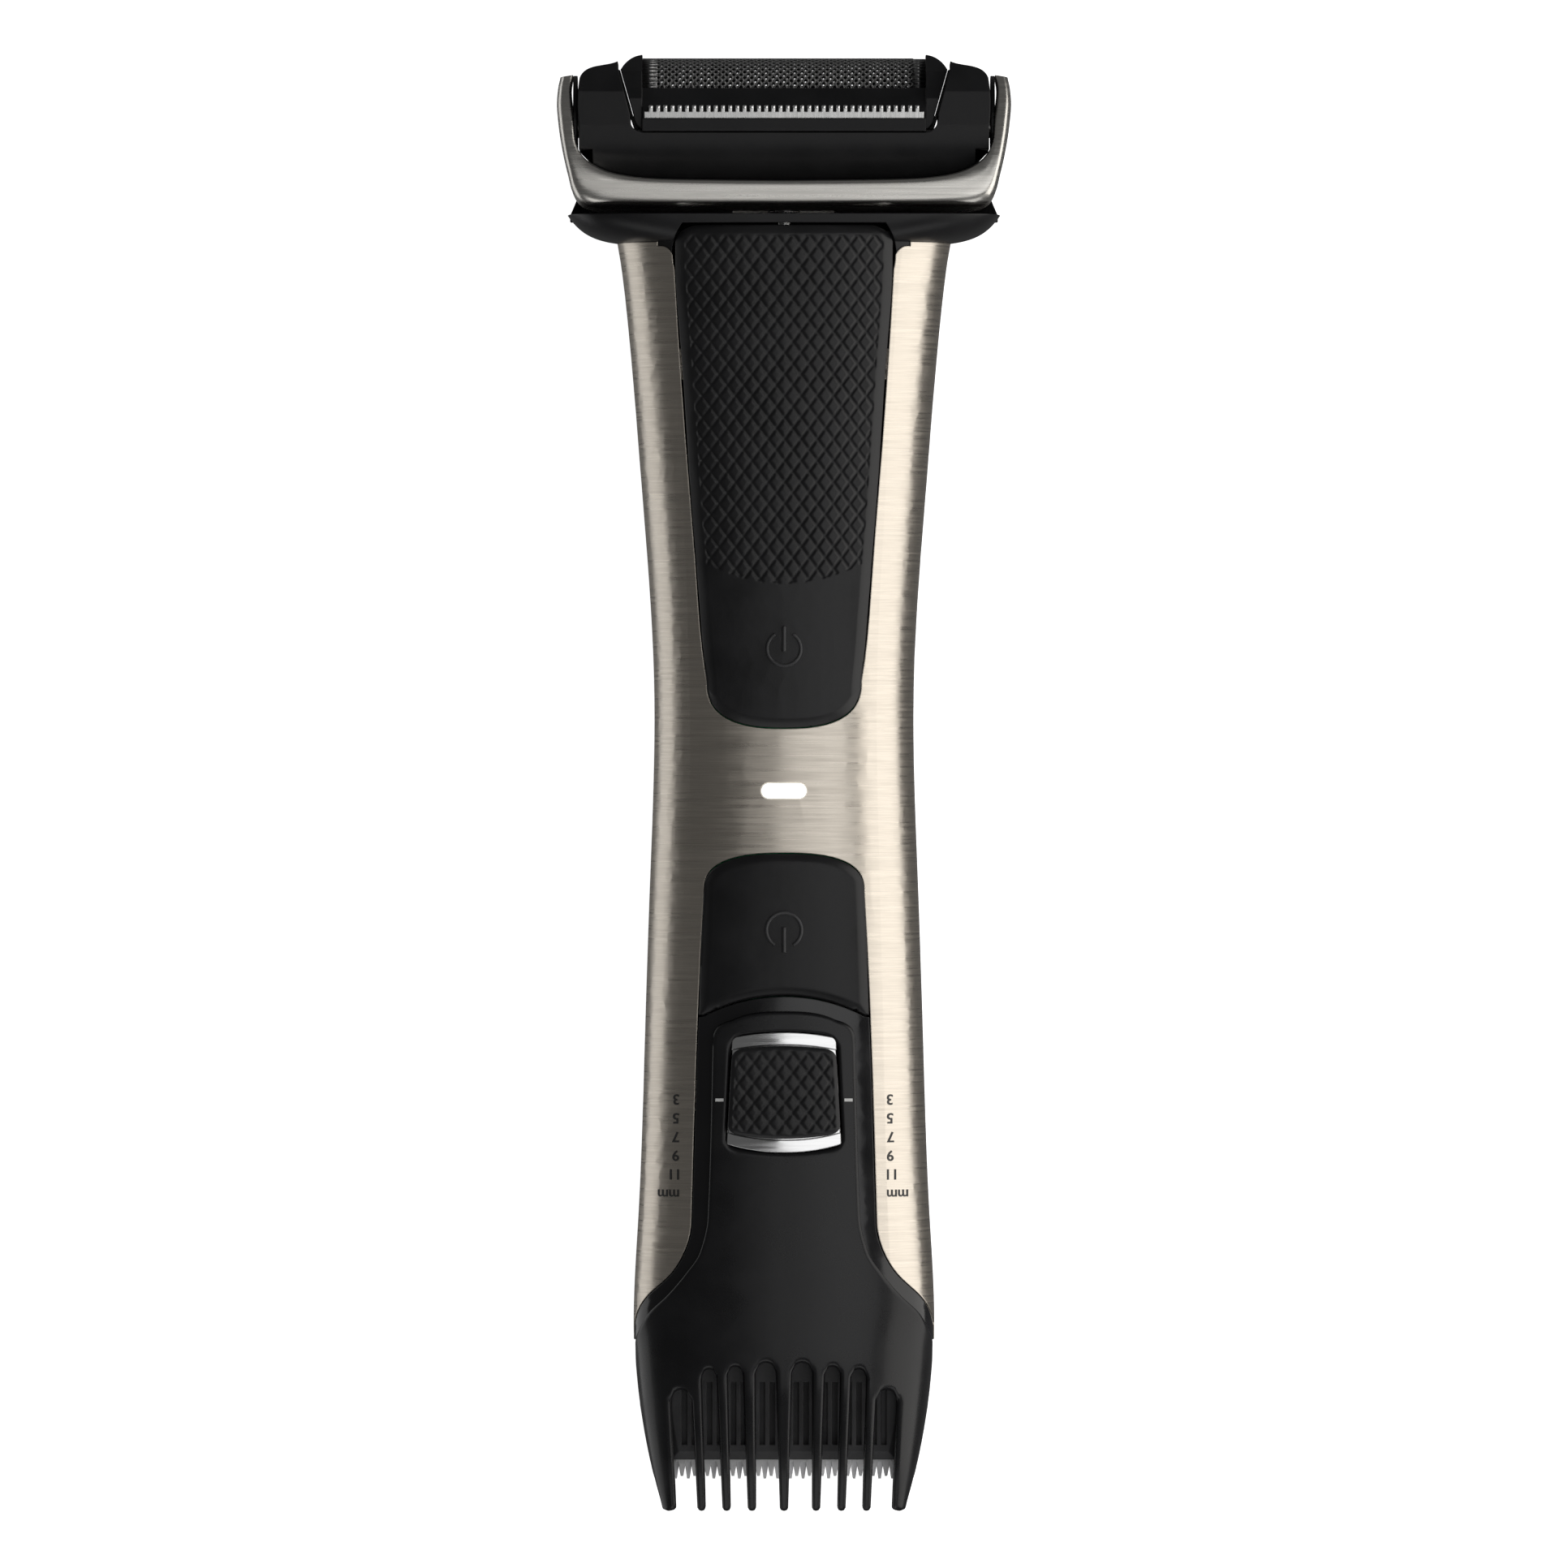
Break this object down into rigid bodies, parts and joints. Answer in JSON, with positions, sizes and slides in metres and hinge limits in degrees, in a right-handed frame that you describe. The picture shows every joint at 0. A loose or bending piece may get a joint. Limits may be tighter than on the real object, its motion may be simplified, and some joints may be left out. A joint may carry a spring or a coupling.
{
  "type": "body groomer",
  "caption": "Double-ended body groomer: pivoting foil shaver head at one end, trimmer with a sliding length comb at the other, textured front buttons.",
  "frame": {"origin": "on the resting face of the back, half way along and across the object", "axes": "+Y towards the foil shaver head, -Y towards the trimmer comb, +Z out of the front, X across"},
  "size_m": [0.067, 0.2152, 0.0335],
  "materials": {
    "shell_metal": "warm satin brushed across the width",
    "yoke_metal": "satin silver",
    "black_plastic": "satin black",
    "grip_panel": "textured satin black",
    "gloss_black": "gloss black",
    "back_plastic": "fine texture",
    "grip_rubber": "soft matt",
    "steel": "ground steel",
    "chrome": "polished",
    "light": "glowing lens",
    "inner_plastic": "moulded",
    "board": "solder mask",
    "copper": "plated",
    "cell": "shrink sleeve",
    "seal_rubber": "soft"
  },
  "bodies": {
    "handle": {"front_shell": "shell_metal", "back_shell": "back_plastic", "back_grip": "grip_rubber", "shell_screws": "steel", "lower_bezel": "gloss_black", "status_lens": "light", "neck_collar": "black_plastic", "neck_frame": "inner_plastic", "yoke_pivot_pins": "steel", "trimmer_holder": "black_plastic", "fixed_blade": "steel", "blade_spring": "steel", "detent_rack": "inner_plastic", "shaver_motor": "steel", "trimmer_motor": "steel", "trimmer_motor_mount": "inner_plastic", "shaver_shaft_seal": "seal_rubber", "trimmer_shaft_seal": "seal_rubber", "battery": "cell", "battery_tabs": "copper", "inner_frame": "inner_plastic", "circuit_board": "board", "board_pegs": "inner_plastic", "button_switches": "gloss_black", "button_domes": "seal_rubber", "light_emitter": "light", "charge_socket": "black_plastic"},
    "yoke": {"head_yoke": "yoke_metal"},
    "head": {"head_housing": "black_plastic", "tilt_pins": "steel"},
    "cartridge": {"cartridge_frame": "black_plastic", "front_guard_comb": "steel", "rear_guard_comb": "steel"},
    "foil_unit": {"foil": "steel"},
    "cutter": {"cutter_block": "steel", "cutter_fork": "inner_plastic", "cutter_springs": "steel"},
    "shaver_drive": {"shaver_eccentric": "steel"},
    "shaver_button": {"shaver_button": "grip_panel"},
    "trimmer_button": {"trimmer_button": "black_plastic"},
    "comb": {"length_comb": "black_plastic", "comb_cradle": "chrome", "comb_carriage": "black_plastic"},
    "comb_lock": {"comb_lock_pad": "grip_panel"},
    "trimmer_cutter": {"moving_blade": "steel", "trimmer_drive_block": "inner_plastic"},
    "trimmer_drive": {"trimmer_eccentric": "steel"}
  },
  "joints": [
    {"name": "yoke_rock", "type": "hinge", "parent": "handle", "child": "yoke", "pos_m": [0, 0.076, 0.0175], "axis": [0, 0, 1], "range_deg": [-1.5, 1.5], "stiffness_Nm_per_rad": 0.4},
    {"name": "head_tilt", "type": "hinge", "parent": "yoke", "child": "head", "pos_m": [0, 0.097, 0.0175], "axis": [1, 0, 0], "range_deg": [-12, 12], "stiffness_Nm_per_rad": 0.2},
    {"name": "cartridge_pull", "type": "slide", "parent": "head", "child": "cartridge", "axis": [0, 1, 0], "range_m": [0, 0.016]},
    {"name": "foil_float", "type": "slide", "parent": "cartridge", "child": "foil_unit", "axis": [0, -1, 0], "range_m": [0, 0.0008], "stiffness_N_per_m": 1500},
    {"name": "cutter_oscillation", "type": "slide", "parent": "foil_unit", "child": "cutter", "axis": [1, 0, 0], "range_m": [-0.001, 0.001]},
    {"name": "shaver_motor_spin", "type": "hinge", "parent": "handle", "child": "shaver_drive", "pos_m": [0, 0.075, 0.0175], "axis": [0, 1, 0], "continuous": true},
    {"name": "shaver_button_press", "type": "hinge", "parent": "handle", "child": "shaver_button", "pos_m": [0, 0.078, 0.0306], "axis": [1, 0, 0], "range_deg": [0, 0.6], "stiffness_Nm_per_rad": 120},
    {"name": "trimmer_button_press", "type": "slide", "parent": "handle", "child": "trimmer_button", "axis": [0, 0, -1], "range_m": [0, 0.0006], "stiffness_N_per_m": 3000},
    {"name": "comb_slide", "type": "slide", "parent": "handle", "child": "comb", "axis": [0, -1, 0], "range_m": [0, 0.01104]},
    {"name": "comb_lock_press", "type": "slide", "parent": "comb", "child": "comb_lock", "axis": [0, 0, -1], "range_m": [0, 0.0005], "stiffness_N_per_m": 3000},
    {"name": "trimmer_oscillation", "type": "slide", "parent": "handle", "child": "trimmer_cutter", "axis": [1, 0, 0], "range_m": [-0.0009, 0.0009]},
    {"name": "trimmer_motor_spin", "type": "hinge", "parent": "handle", "child": "trimmer_drive", "pos_m": [0, -0.075, 0.0145], "axis": [0, 1, 0], "continuous": true}
  ]
}
